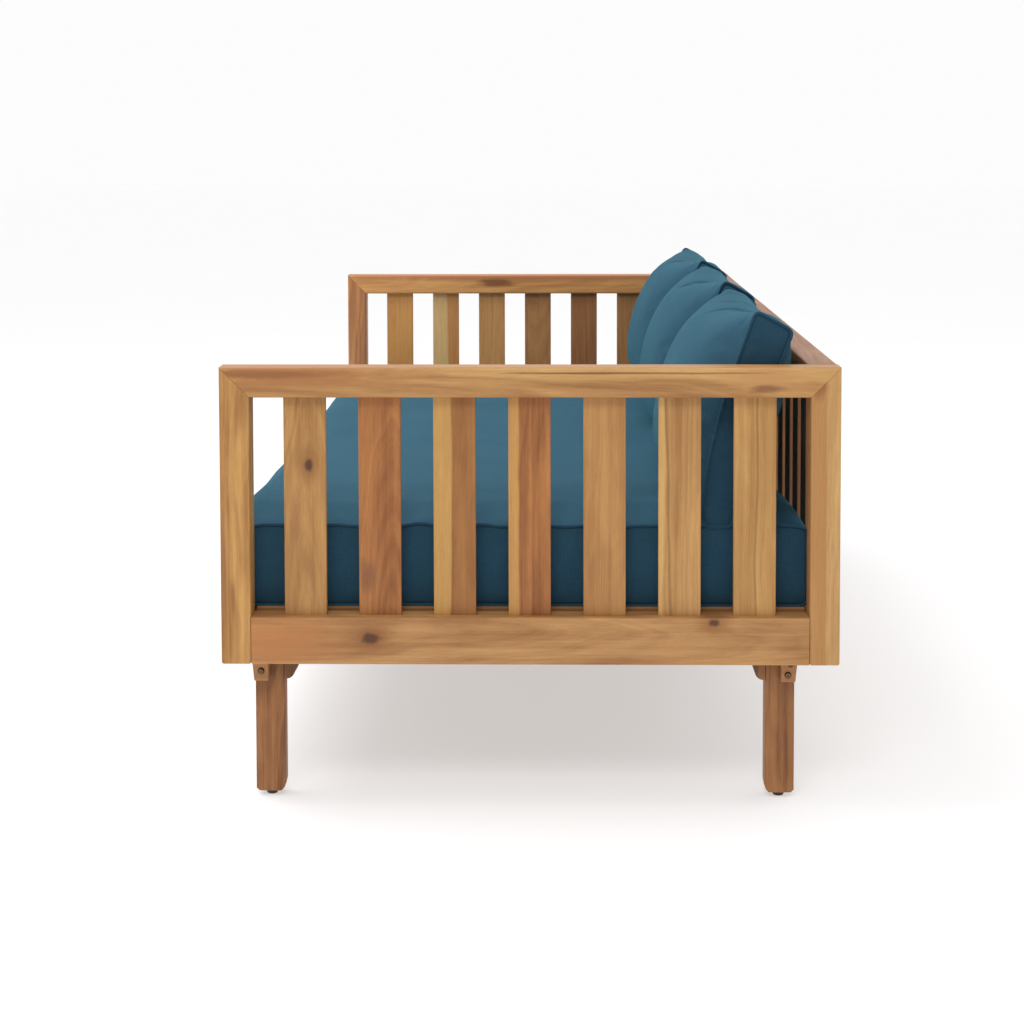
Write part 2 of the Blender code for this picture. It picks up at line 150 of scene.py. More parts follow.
def new_material(name, values=None):
    """A material with these values on its surface. Returns it, its nodes and the surface."""
    made = bpy.data.materials.new(name)
    made.use_nodes = True
    made.node_tree.nodes.clear()
    tree = NodeTree(made.node_tree)
    surface = tree.add("ShaderNodeBsdfPrincipled", values)
    tree.add("ShaderNodeOutputMaterial", {0: surface.outputs[0]})
    return made, tree, surface


def coat(tree, surface, colour, roughness, height, strength, distance):
    """Links the colour, the roughness and a bump to the surface."""
    bump = tree.add("ShaderNodeBump", {"Height": height, "Strength": strength, "Distance": distance})
    tree.link(colour, surface.inputs["Base Color"])
    tree.link(roughness, surface.inputs["Roughness"])
    tree.link(bump.outputs[0], surface.inputs["Normal"])


# ---------------------------------------------------------------- wood

HEART_LIGHT = (214, 164, 108)
HEART_DARK = (150, 98, 56)
SAP = (232, 192, 132)
SAP_SHADE = (0.74, 0.68, 0.60, 1.0)
STREAK_COLOUR = (0.05, 0.025, 0.012, 1.0)
STREAK_HALF = 0.0035
PAINTED_TOP_SHADE = (0.73, 0.63, 0.55, 1.0)  # painted shade: how much darker the upward faces of the top rails are made
WOOD_BUMP = (0.35, 0.0006)  # strength and distance

# The board's noises, as their scales along the grain and across it, per metre
WOBBLE = (2.4, 11.0)
WAVER = (14.0, 60.0)
CLOUD = (5.0, 24.0)
FIBRE = (22.0, 1500.0)
BANDS = (1.3, 130.0)
PORES = (60.0, 2300.0)
WOBBLE_REACH = (0.0, 0.030, 0.030)  # metres along, across and into the board
WAVER_REACH = (0.0, 0.0030, 0.0030)
BROAD_RINGS = 120.0
NARROW_RINGS = 620.0
RING_STEP = (0.34, 0.66)
TONE_LAYERS = [(0.30, 0.70, 0.09), (0.36, 0.64, 0.38), (0.34, 0.64, 0.22)]  # from, to, share of the tone

# What a board's looks may set, and the values for the rest: colours are tuples, lengths are in metres
WOOD_LOOKS = {
    "End grain": 0.0,
    "Seed": 0.0,
    "Light": HEART_LIGHT,
    "Dark": HEART_DARK,
    "Sap": SAP,
    "Heart across": 0.01,
    "Heart depth": 0.06,
    "Heart tilt": 0.03,
    "Sap edge": -1.0,
    "Sap soft": 0.003,
    "Sap bend": 1.0,
    "Streak": 1.0,
    "Streak slope": 0.0,
    "Figure": 0.6,
    "Rings": 0.31,
}


def set_look(socket, value):
    socket.default_value = linear(*value) if isinstance(value, tuple) else value


def wood_group():
    """Board figure. Place is in metres with x along the grain, y across the board and z into it."""
    group = bpy.data.node_groups.new("acacia", "ShaderNodeTree")
    faces = group.interface
    faces.new_socket("Place", in_out="INPUT", socket_type="NodeSocketVector")
    for name, value in WOOD_LOOKS.items():
        kind = "NodeSocketColor" if isinstance(value, tuple) else "NodeSocketFloat"
        set_look(faces.new_socket(name, in_out="INPUT", socket_type=kind), value)
    for name, kind in (("Colour", "Color"), ("Height", "Float"), ("Roughness", "Float")):
        faces.new_socket(name, in_out="OUTPUT", socket_type="NodeSocket" + kind)
    tree = NodeTree(group)
    given = tree.add("NodeGroupInput").outputs
    seed = given["Seed"]
    place = given["Place"]
    shift = tree.join(tree.math("MULTIPLY", seed, 3.71), tree.math("MULTIPLY", seed, 1.93), seed)

    def stretched(along, across):
        return tree.vector("ADD", tree.vector("MULTIPLY", place, (along, across, across)), shift)

    # the grain's slow wobble and its fine waver
    wobble = tree.vector("MULTIPLY", tree.swirl(stretched(*WOBBLE), 2.0, 0.55), WOBBLE_REACH)
    waver = tree.vector("MULTIPLY", tree.swirl(stretched(*WAVER), 2.0, 0.5), WAVER_REACH)
    bent = tree.vector("ADD", tree.vector("ADD", place, wobble), waver)
    along, across, into = tree.split(bent)

    # growth rings about a heart line that may run through the board at a slant
    side = tree.math("SUBTRACT", across, given["Heart across"])
    climb = tree.math("MULTIPLY", along, given["Heart tilt"])
    depth = tree.math("ADD", tree.math("ADD", into, given["Heart depth"]), climb)
    squares = tree.math("ADD", tree.math("MULTIPLY", side, side), tree.math("MULTIPLY", depth, depth))
    ring = tree.math("ADD", tree.math("SQRT", squares), tree.math("MULTIPLY", seed, 0.37))
    broad = tree.line_noise(ring, BROAD_RINGS)
    narrow = tree.line_noise(tree.math("ADD", ring, 5.0), NARROW_RINGS)
    cloud = tree.noise(stretched(*CLOUD), 1.0, 3.0, 0.6)
    fibre = tree.noise(stretched(*FIBRE), 1.0, 2.0, 0.6)
    bands = tree.noise(stretched(*BANDS), 1.0, 2.0, 0.6)
    tone = tree.math("MULTIPLY", tree.ramp(broad, *RING_STEP), given["Rings"])
    for layer, (low, high, share) in zip((narrow, cloud, bands), TONE_LAYERS):
        tone = tree.math("MULTIPLY_ADD", tree.ramp(layer, low, high), share, tone)
    tone = tree.math("MULTIPLY_ADD", tree.math("SUBTRACT", tone, 0.5), given["Figure"], 0.5)
    colour = tree.blend(tone, given["Dark"], given["Light"])

    # sapwood along one side, with a wavy edge
    straight = tree.split(place)[1]
    swing = tree.math("MULTIPLY_ADD", tree.math("SUBTRACT", across, straight), given["Sap bend"], straight)
    edge = tree.math("DIVIDE", tree.math("SUBTRACT", given["Sap edge"], swing), given["Sap soft"])
    sap_shade = tree.blend(1.0, given["Sap"], SAP_SHADE, "MULTIPLY")
    sap_tone = tree.blend(tree.math("MULTIPLY_ADD", tone, 0.7, 0.3), sap_shade, given["Sap"])
    colour = tree.blend(tree.ramp(edge, -1.0, 1.0), colour, sap_tone)

    # one dark mineral streak
    drift = tree.math("MULTIPLY_ADD", along, given["Streak slope"], given["Streak"])
    off = tree.math("ABSOLUTE", tree.math("SUBTRACT", across, drift))
    line = tree.ramp(off, 0.0, STREAK_HALF, 0.55, 0.0)
    colour = tree.blend(line, colour, tree.blend(0.55, given["Dark"], STREAK_COLOUR))

    # fibres, pores and the darker end grain
    shade = tree.ramp(fibre, 0.2, 0.8, 0.88, 1.09)
    pores = tree.ramp(tree.noise(stretched(*PORES), 1.0, 1.0, 0.5), 0.64, 0.74)
    pores = tree.math("MULTIPLY", pores, tree.math("SUBTRACT", 1.0, given["End grain"]))
    shade = tree.math("MULTIPLY_ADD", pores, -0.22, shade)
    shade = tree.math("MULTIPLY_ADD", given["End grain"], -0.28, shade)
    grey = tree.add("ShaderNodeCombineColor", {0: shade, 1: shade, 2: shade}).outputs[0]
    colour = tree.blend(1.0, colour, grey, "MULTIPLY")
    height = tree.math("MULTIPLY_ADD", fibre, 0.35, tree.math("MULTIPLY", tone, 0.25))
    height = tree.math("MULTIPLY_ADD", pores, -0.6, height)
    rough = tree.math("MULTIPLY_ADD", tone, -0.10, 0.52)
    rough = tree.math("MULTIPLY_ADD", pores, 0.15, rough)
    tree.add("NodeGroupOutput", {"Colour": colour, "Height": height, "Roughness": rough})
    return group


acacia = wood_group()

KNOT_HALO = (150, 98, 54)
KNOT_CORE = (84, 54, 36)
KNOT_RING = (112, 72, 42)
KNOT_LONG = 0.62  # one over how much longer a knot is than wide
KNOT_WARP = (160.0, 160.0, 160.0)  # the scale of the noise at its edge, per metre
PATCH_WARP = (18.0, 90.0, 90.0)


def knot(tree, place, colour, height, centre, size):
    """A small knot: the grain turns round it and its middle is dark. Centre is along and across."""
    offset = tree.vector("SUBTRACT", place, (*centre, 0.0))
    flat = tree.vector("MULTIPLY", offset, (KNOT_LONG / size, 1.0 / size, 0.0))
    warp = tree.swirl(tree.vector("MULTIPLY", place, KNOT_WARP), 2.0, 0.5)
    far = tree.length(tree.vector("MULTIPLY_ADD", warp, (0.7, 0.7, 0.0), flat))
    colour = tree.blend(tree.ramp(far, 0.6, 4.2, 0.62, 0.0), colour, linear(*KNOT_HALO))
    core = tree.ramp(far, 0.45, 1.25, 1.0, 0.0)
    colour = tree.blend(core, colour, linear(*KNOT_CORE))
    rings = tree.math("SINE", tree.math("MULTIPLY", far, 11.0))
    rings = tree.math("MULTIPLY", rings, tree.ramp(far, 0.5, 3.0, 0.30, 0.0))
    colour = tree.blend(tree.math("ABSOLUTE", rings), colour, linear(*KNOT_RING))
    return colour, tree.math("MULTIPLY_ADD", core, -0.5, height)


def patch(tree, place, colour, centre, size, tint, strength):
    """A soft-edged area of another colour. Centre and size are along and across."""
    offset = tree.vector("SUBTRACT", place, (*centre, 0.0))
    flat = tree.vector("DIVIDE", offset, (*size, 1.0))
    warp = tree.swirl(tree.vector("MULTIPLY", place, PATCH_WARP), 3.0, 0.6)
    flat = tree.vector("MULTIPLY_ADD", warp, (1.3, 1.3, 0.0), flat)
    far = tree.length(tree.vector("MULTIPLY", flat, (1.0, 1.0, 0.0)))
    return tree.blend(tree.ramp(far, 0.35, 1.3, strength, 0.0), colour, linear(*tint))


# Which of x, y and z run along the grain, across the board and into it
AXES = {"X": (0, 2, 1), "Y": (1, 2, 0), "Z": (2, 1, 0), "ZX": (2, 0, 1), "YX": (1, 0, 2)}


def wood_material(name, axes, centre, seed, knots=(), patches=(), flip=False, weathered=False, **looks):
    """Oiled wood for one board. axes names the grain's direction, then the face's, as in AXES."""
    made, tree, surface = new_material(name, {"Specular IOR Level": 0.35})
    position = tree.add("ShaderNodeTexCoord").outputs
    parts = tree.split(tree.vector("SUBTRACT", position["Object"], tuple(centre)))
    place = tree.join(*(parts[axis] for axis in AXES[axes]))
    if flip:
        place = tree.vector("MULTIPLY", place, (1.0, -1.0, 1.0))
    normal = tree.split(position["Normal"])
    end = tree.ramp(tree.math("ABSOLUTE", normal[AXES[axes][0]]), 0.75, 0.95)
    board = tree.add("ShaderNodeGroup", node_tree=acacia)
    for key, source in (("Place", place), ("End grain", end)):
        tree.link(source, board.inputs[key])
    for key, value in {"seed": seed, **looks}.items():
        set_look(board.inputs[key.replace("_", " ").capitalize()], value)
    colour = board.outputs["Colour"]
    height = board.outputs["Height"]
    # painted shade on the upward faces, set by how far the normal points up
    if weathered:
        colour = tree.blend(tree.ramp(normal[2], 0.5, 0.9), colour, PAINTED_TOP_SHADE, "MULTIPLY")
    for spot in patches:
        colour = patch(tree, place, colour, *spot)
    for *middle, size in knots:
        colour, height = knot(tree, place, colour, height, middle, size)
    coat(tree, surface, colour, board.outputs["Roughness"], height, *WOOD_BUMP)
    return made


# Boards of the end nearest the camera, front to back: looks chosen one by one
RIGHT_SLATS = [
    dict(seed=1.3, light=(200, 152, 90), dark=(152, 104, 57), heart_across=0.004, heart_depth=0.03,
         heart_tilt=0.10, knots=[(0.060, 0.006, 0.0062)], figure=1.0, rings=0.22,
         patches=[((-0.02, -0.016), (0.05, 0.010), (150, 98, 62), 0.45)]),
    dict(seed=4.7, light=(188, 125, 69), dark=(134, 79, 41), heart_across=0.012, heart_depth=0.020,
         heart_tilt=0.13, figure=1.0, rings=0.24,
         patches=[((-0.105, -0.018), (0.030, 0.014), (118, 76, 52), 0.6)]),
    dict(seed=7.9, light=(176, 121, 67), dark=(136, 86, 43), sap=(202, 155, 88), sap_edge=-0.004,
         sap_soft=0.0018, heart_across=0.05, heart_tilt=0.02, figure=0.9, rings=0.25),
    dict(seed=2.6, light=(196, 131, 72), dark=(134, 80, 41), sap=(201, 150, 85), sap_edge=-0.019,
         sap_soft=0.0012, heart_across=0.03, heart_tilt=0.02, figure=1.1,
         patches=[((0.0, -0.008), (0.20, 0.008), (132, 78, 44), 0.55)]),
    dict(seed=9.1, light=(201, 151, 90), dark=(157, 106, 59), heart_across=0.06, heart_tilt=0.01, figure=0.9,
         rings=0.2),
    dict(seed=5.4, light=(205, 158, 97), dark=(161, 112, 63), sap=(214, 170, 104), sap_edge=-0.022,
         sap_soft=0.002, streak=-0.0165, streak_slope=-0.030, heart_across=-0.05, heart_tilt=0.01, figure=1.0,
         rings=0.25),
    dict(seed=8.2, light=(209, 163, 98), dark=(167, 119, 65), streak=0.001, streak_slope=0.004,
         heart_across=0.07, heart_tilt=0.01, figure=0.9, rings=0.25),
]
LEFT_SLATS = [
    ((228, 169, 97), (186, 124, 64)),
    ((222, 160, 96), (172, 106, 56)),
    ((232, 174, 108), (178, 124, 72)),
    ((201, 144, 90), (142, 91, 52)),
    ((187, 127, 79), (128, 79, 45)),
    ((196, 142, 88), (142, 92, 54)),
    ((206, 156, 98), (160, 110, 64)),
]
RIGHT_MEMBERS = {
    "top_rail": dict(seed=3.3, weathered=True, flip=True, light=(198, 150, 92), dark=(154, 106, 62),
                     sap=(209, 163, 102), sap_edge=-0.004, sap_soft=0.003, heart_across=0.03,
                     heart_depth=0.03, heart_tilt=0.05, figure=1.1,
                     patches=[((-0.34, -0.012), (0.19, 0.022), (170, 115, 68), 1.0),
                              ((-0.38, -0.012), (0.09, 0.006), (140, 90, 54), 0.7),
                              ((0.34, -0.010), (0.06, 0.016), (190, 141, 86), 0.9),
                              ((0.345, 0.010), (0.030, 0.007), (132, 86, 54), 0.8),
                              ((0.22, -0.014), (0.13, 0.0016), (124, 80, 48), 0.7),
                              ((0.08, -0.014), (0.11, 0.0018), (112, 70, 40), 0.8)]),
    "bottom_rail": dict(seed=6.1, light=(204, 156, 100), dark=(148, 98, 54), heart_across=0.01,
                        heart_depth=0.03, heart_tilt=0.06, figure=0.9, rings=0.22,
                        patches=[((-0.37, 0.0), (0.09, 0.04), (182, 120, 70), 0.8),
                                 ((-0.233, 0.004), (0.022, 0.016), (146, 90, 54), 0.7)],
                        knots=[(-0.233, 0.004, 0.0090), (0.269, 0.0285, 0.0055)]),
    "front_post": dict(seed=1.9, light=(207, 158, 92), dark=(155, 104, 54), heart_across=0.04,
                       heart_tilt=0.02, figure=1.1, rings=0.25,
                       patches=[((-0.09, -0.018), (0.15, 0.006), (146, 96, 54), 0.7),
                                ((-0.12, -0.004), (0.03, 0.004), (126, 80, 48), 0.6)]),
    "back_post": dict(seed=2.2, light=(210, 168, 107), dark=(174, 128, 77), sap=(190, 139, 84),
                      sap_edge=0.001, sap_soft=0.0004, sap_bend=0.0, heart_across=0.04, heart_tilt=0.02,
                      figure=0.9,
                      patches=[((0.20, -0.010), (0.03, 0.012), (140, 82, 50), 0.7)]),
}


LEFT_MEMBERS = {
    "top_rail": dict(seed=12.1, weathered=True, light=(230, 172, 104), dark=(184, 122, 68), heart_across=0.02,
                     heart_depth=0.02, heart_tilt=0.05, figure=0.9,
                     # the first patch is painted shade along the rail's upper edge and its top face
                     patches=[((0.0, 0.017), (0.6, 0.009), (186, 122, 78), 0.9),
                              ((-0.10, 0.004), (0.05, 0.010), (122, 74, 42), 0.85)]),
    "front_post": dict(seed=13.0, light=(206, 146, 94), dark=(150, 94, 56), heart_across=0.05, figure=1.0),
}
BACK_SLATS = 17
BACK_SLAT = dict(light=(184, 126, 78), dark=(136, 86, 52))
BACK_RAIL = dict(seed=78.0, light=(184, 134, 88), dark=(142, 96, 62), figure=1.0, weathered=True)
LEG = dict(light=(168, 114, 67), dark=(116, 72, 40), heart_across=0.03, figure=1.4)
LEG_BLOCK = dict(light=(196, 142, 90), dark=(150, 102, 62), heart_across=0.02, figure=0.9)
BRACE_PLACE = (0.086, 0.022)  # up and inward from the middle of the leg
# painted shade over the brace, which lies in the shadow under the frame
BRACE_PAINTED_SHADE = ((0.055, 0.030), (104, 68, 46), 0.9)

# Boards that aren't described one by one: each has an index, and its looks follow from that
COMMON_LIGHT = [(210, 12, -30), (156, 12, -28), (94, 10, -16)]  # plain, and what warmth and depth of tone add
COMMON_DARK = 0.74  # of the light colour
COMMON_SAP_ABOVE = 0.62
COMMON = {
    "left_end_bottom_rail": 60,
    "left_end_back_post": 61,
    "back_bottom_rail": 41,
    "front_rail": 42,
    "centre_beam": 43,
    "seat_deck": 50,
}
BACK_SLAT_INDEX = 20


def box_centre(node):
    low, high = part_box(node)
    return (low + high) / 2


def seeded(*values):
    """A number from 0 to 1 that depends only on the values."""
    return noise.cell(Vector([17.3 * v + 5.1 for v in values] + [0.0] * (3 - len(values))))


def common_looks(index):
    """Looks of a board that isn't described one by one."""
    warmth = seeded(index, 1.0)
    deep = seeded(index, 2.0)
    light = tuple(plain + warm * warmth + deeper * deep for plain, warm, deeper in COMMON_LIGHT)
    looks = dict(
        seed=10.0 + 1.7 * index,
        light=light,
        dark=tuple(COMMON_DARK * c for c in light),
        heart_across=0.08 * (seeded(index, 3.0) - 0.5),
        heart_depth=0.015 + 0.05 * seeded(index, 4.0),
        heart_tilt=0.12 * (seeded(index, 5.0) - 0.5),
        figure=0.8 + 0.4 * seeded(index, 6.0),
    )
    if seeded(index, 7.0) > COMMON_SAP_ABOVE:
        looks["sap_edge"] = 0.03 * (seeded(index, 8.0) - 0.75)
    return looks


def dress(node, axes, looks):
    """One board's material, on its CAD node."""
    made = wood_material("wood_" + node, axes, box_centre(node), **looks)
    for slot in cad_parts[node].material_slots:
        slot.material = made


def dress_frame():
    grain = {"top_rail": "Y", "bottom_rail": "Y", "front_post": "Z", "back_post": "Z"}
    for member, axes in grain.items():
        dress("right_end_" + member, axes, RIGHT_MEMBERS[member])
    for number, looks in enumerate(RIGHT_SLATS, 1):
        dress(f"right_end_slat_{number}", "Z", looks)
    for member, axes in grain.items():
        node = "left_end_" + member
        dress(node, axes, LEFT_MEMBERS[member] if member in LEFT_MEMBERS else common_looks(COMMON[node]))
    for number, (light, dark) in enumerate(LEFT_SLATS, 1):
        dress(f"left_end_slat_{number}", "Z", common_looks(number) | dict(light=light, dark=dark))
    for number in range(1, BACK_SLATS + 1):
        dress(f"back_slat_{number:02d}", "ZX", common_looks(BACK_SLAT_INDEX + number) | BACK_SLAT)
    dress("back_top_rail", "X", BACK_RAIL)
    for node in ("back_bottom_rail", "front_rail", "centre_beam"):
        dress(node, "X", common_looks(COMMON[node]))
    dress("seat_deck", "YX", common_looks(COMMON["seat_deck"]))
    for index, name in enumerate(["right_front", "right_back", "left_front", "left_back"]):
        up, inward = BRACE_PLACE
        # painted shade over the brace, as a dark patch on the leg
        painted_brace_shade = ((up, inward if "front" in name else -inward), *BRACE_PAINTED_SHADE)
        dress(name + "_leg", "Z", LEG | dict(seed=20.0 + index, patches=[painted_brace_shade]))
        dress(name + "_leg_block", "Y", LEG_BLOCK | dict(seed=30.0 + index))


dress_frame()


# ---------------------------------------------------------------- glides, bolts and screws

PLASTIC_DARK = (38, 23, 18)
PLASTIC_LIGHT = (58, 38, 30)
WASHER_TINT = (92, 66, 46)
BOLT_TINT = (150, 124, 104)
SCREW_TINT = (186, 158, 96)
SHARP_FROM = math.radians(35)
HEAD_STEPS = 36
HEX_SIDES = 6


def plastic_material():
    made, tree, surface = new_material("moulded_brown_plastic")
    place = tree.place()
    grain = tree.noise(place, 900.0)
    scuffs = tree.noise(place, 60.0, 3.0, 0.6)
    colour = tree.blend(scuffs, linear(*PLASTIC_DARK), linear(*PLASTIC_LIGHT))
    coat(tree, surface, colour, tree.ramp(scuffs, 0.3, 0.7, 0.42, 0.62), grain, 0.25, 0.0003)
    return made


def metal_material(name, tint, rough):
    """Plated metal with a slightly mottled surface."""
    made, tree, surface = new_material(name, {"Metallic": 1.0})
    spots = tree.noise(tree.place(), 700.0, 3.0, 0.6)
    colour = tree.blend(spots, linear(*tint), linear(*(0.8 * c for c in tint)))
    coat(tree, surface, colour, tree.ramp(spots, 0.2, 0.8, rough - 0.06, rough + 0.10), spots, 0.15, 0.0002)
    return made


def hex_radius(angle, flat):
    """Distance from the middle to a hexagon whose flats are `flat` away."""
    within = (angle % (2 * math.pi / HEX_SIDES)) - math.pi / HEX_SIDES
    return flat / math.cos(within)


def turned_rings(profile, hex_from=None):
    """Points and faces of rings (radius, height); from hex_from on the rings are hexagons of that size."""
    points = []
    faces = []
    for ring, (radius, height) in enumerate(profile):
        for step in range(HEAD_STEPS):
            angle = 2 * math.pi * step / HEAD_STEPS
            reach = hex_radius(angle, radius) if hex_from is not None and ring >= hex_from else radius
            points.append((reach * math.cos(angle), reach * math.sin(angle), height))
    for ring in range(len(profile) - 1):
        for step in range(HEAD_STEPS):
            after = (step + 1) % HEAD_STEPS
            low = ring * HEAD_STEPS
            high = low + HEAD_STEPS
            faces.append((low + step, low + after, high + after, high + step))
    faces.append(tuple(reversed(range(HEAD_STEPS))))
    faces.append(tuple(range(len(points) - HEAD_STEPS, len(points))))
    return points, faces


def ride_smooth(made, material):
    """Gives a small hard piece its material and its shading, and fixes it to the frame."""
    made.data.materials.append(material)
    made.data.shade_smooth()
    made.data.set_sharp_from_angle(angle=SHARP_FROM)
    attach(made, "frame")


# Radius and height of each ring, at full size
WASHER_PROFILE = [(0.0078, 0.0), (0.0080, 0.0003), (0.0080, 0.0010), (0.0077, 0.0013), (0.0051, 0.0013)]
BOLT_PROFILE = [(0.0050, 0.0008), (0.0052, 0.0012), (0.0052, 0.0040), (0.0048, 0.0045), (0.0031, 0.0045),
                (0.0026, 0.0043), (0.0025, 0.0016), (0.0008, 0.0012)]
SCREW_PROFILE = [(0.0030, -0.0002), (0.0041, 0.0001), (0.0042, 0.0003), (0.0040, 0.0005), (0.0021, 0.0006),
                 (0.0017, 0.0004), (0.0015, -0.0008), (0.0004, -0.0010)]
SOCKET_FROM = 5  # the first ring of a head's hexagonal socket
BOLT_SPOTS = {"front": [(0.0015, 0.0)], "back": [(-0.002, -0.004), (0.002, 0.0105)]}  # across and up
BOLT_SIZES = (0.62, 0.45)  # of the first and the second bolt


def turned_piece(name, profile, size, where, out, material, hex_from=None):
    """A turned head that faces along +X or -X, as out says."""
    points, faces = turned_rings([(radius * size, height) for radius, height in profile], hex_from)
    made = new_mesh_object(name, points, faces)
    turn = Vector((0, 0, 1)).rotation_difference(Vector((out, 0, 0))).to_matrix().to_4x4()
    made.data.transform(Matrix.Translation(where) @ turn)
    ride_smooth(made, material)


def make_bolts():
    """Socket-head bolts with washers: one through each front leg block, and two through each back one."""
    washer_metal = metal_material("bronzed_washer", WASHER_TINT, 0.45)
    bolt_metal = metal_material("bronzed_bolt", BOLT_TINT, 0.36)
    for side, out in (("right", 1), ("left", -1)):
        for row, spots in BOLT_SPOTS.items():
            low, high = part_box(f"{side}_{row}_leg_block")
            middle = (low + high) / 2
            face = high.x if out > 0 else low.x
            for number, (across, up) in enumerate(spots, 1):
                where = Vector((face, middle.y + across, middle.z + up))
                name = f"{side}_{row}_bolt_{number}"
                size = BOLT_SIZES[number - 1]
                turned_piece(name + "_washer", WASHER_PROFILE, size, where, out, washer_metal)
                turned_piece(name, BOLT_PROFILE, size, where, out, bolt_metal, SOCKET_FROM)


BATTEN_SPLIT = 0.305  # battens' distance from the middle, as a part of the deck's depth
BATTEN_SCREWS = 0.011  # from the batten's middle
DECK_SLATS = 17


def make_deck_screws():
    """Countersunk screws where the deck slats cross the battens, all in one piece."""
    low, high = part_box("seat_deck")
    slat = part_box("right_end_slat_1")
    wide = slat[1].y - slat[0].y
    space = (high.x - low.x - DECK_SLATS * wide) / (DECK_SLATS - 1)
    points = []
    faces = []
    one_points, one_faces = turned_rings(SCREW_PROFILE, SOCKET_FROM)
    for number in range(DECK_SLATS):
        x = low.x + wide / 2 + number * (wide + space)
        for side in (-1, 1):
            for shift in (-BATTEN_SCREWS, BATTEN_SCREWS):
                y = side * BATTEN_SPLIT * (high.y - low.y) + shift
                start = len(points)
                points += [(x + px, y + py, high.z + pz) for px, py, pz in one_points]
                faces += [tuple(start + i for i in face) for face in one_faces]
    screws = new_mesh_object("deck_screws", points, faces)
    ride_smooth(screws, metal_material("brass_screws", SCREW_TINT, 0.38))


for node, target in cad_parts.items():
    if node.endswith("glide"):
        for slot in target.material_slots:
            slot.material = plastic_material()
make_bolts()
make_deck_screws()

# ---------------------------------------------------------------- cloth

CLOTH = (36, 66, 86)
CLOTH_PALE = (44, 79, 99)
CLOTH_SURFACE = {
    "Specular IOR Level": 0.10,
    "Sheen Weight": 0.30,
    "Sheen Roughness": 0.45,
    "Sheen Tint": linear(112, 204, 220),
}
THREAD = 0.0011  # one over-and-under of the weave, metres
SLUB_LONG = 40.0  # the scale of the threads' unevenness along them, per metre
SLUB_WIDE = 900.0
WEAVE_MAP = "weave"
PANEL_BUMP = 0.35
CORD_BUMP = 0.2


def cloth_material(name, bump):
    """Fine canvas weave: threads in the bump, slight slubs and fading in the colour, a soft sheen."""
    made, tree, surface = new_material(name, CLOTH_SURFACE)
    flat = tree.add("ShaderNodeUVMap", uv_map=WEAVE_MAP).outputs[0]
    fade = tree.noise(tree.place(), 5.0, 3.0, 0.55)
    slubs = tree.noise(tree.vector("MULTIPLY", flat, (SLUB_LONG, SLUB_WIDE, 1.0)), 1.0, 2.0, 0.6)
    cross = tree.noise(tree.vector("MULTIPLY", flat, (SLUB_WIDE, SLUB_LONG, 1.0)), 1.0, 2.0, 0.6)
    threads = tree.math("MULTIPLY", tree.math("ADD", slubs, cross), 0.5)
    tone = tree.math("MULTIPLY", tree.ramp(fade, 0.3, 0.7), 0.45)
    tone = tree.math("MULTIPLY_ADD", tree.ramp(threads, 0.35, 0.65), 0.55, tone)
    colour = tree.blend(tone, linear(*CLOTH), linear(*CLOTH_PALE))
    parts = tree.split(flat)
    turn = 2 * math.pi / THREAD
    warp, weft = (tree.math("SINE", tree.math("MULTIPLY", parts[axis], turn)) for axis in (0, 1))
    height = tree.math("MULTIPLY_ADD", threads, 0.9, tree.math("MULTIPLY", warp, weft))
    coat(tree, surface, colour, tree.ramp(threads, 0.3, 0.7, 0.92, 0.78), height, bump, 0.00025)
    return made


# ---------------------------------------------------------------- cushions

SIM_FRAMES = 20
CLOTH_SETTINGS = dict(
    quality=5,
    mass=0.25,
    tension_stiffness=18,
    compression_stiffness=18,
    shear_stiffness=6,
    bending_stiffness=0.35,
    air_damping=2.0,
    use_pressure=True,
    vertex_group_mass="seam",
    pin_stiffness=1.0,
)
TINY = 1e-9
DISTANCE_BLOCK = 2000  # vertices whose distances are worked out at once
GATHER_GAIN = 2.2
GATHER_FULL = 0.3  # of its reach: where a gather is at its deepest
GATHER_SIDES = 7.0  # sets the noise of the two ends apart
SEAM_CREASE = 0.9
SEAM_SINK = 0.5  # of the cord's radius: how deep the cover's edge lies in the cord
PANEL_MAP_SHIFT = 3.0  # keeps the end panels' weave apart from the wrap's
PANEL_SWELL = 0.003  # of the middle of an end panel
CORD_RADIUS = 0.0024
CORD_SIDES = 10
CORD_SMOOTHINGS = 2
CORD_KEEP = 6  # how much a point of the cord's path counts against its two neighbours
CLEAR = 0.0006


def face_outwards(mesh):
    fix = bmesh.new()
    fix.from_mesh(mesh)
    bmesh.ops.recalc_face_normals(fix, faces=fix.faces)
    fix.to_mesh(mesh)
    fix.free()


def grid_ring(across, tall):
    """The border of a grid of across x tall cells, as (column, row), in order."""
    ring = [(c, 0) for c in range(across)]
    ring += [(across, r) for r in range(tall)]
    ring += [(c, tall) for c in range(across, 0, -1)]
    ring += [(0, r) for r in range(tall, 0, -1)]
    return ring


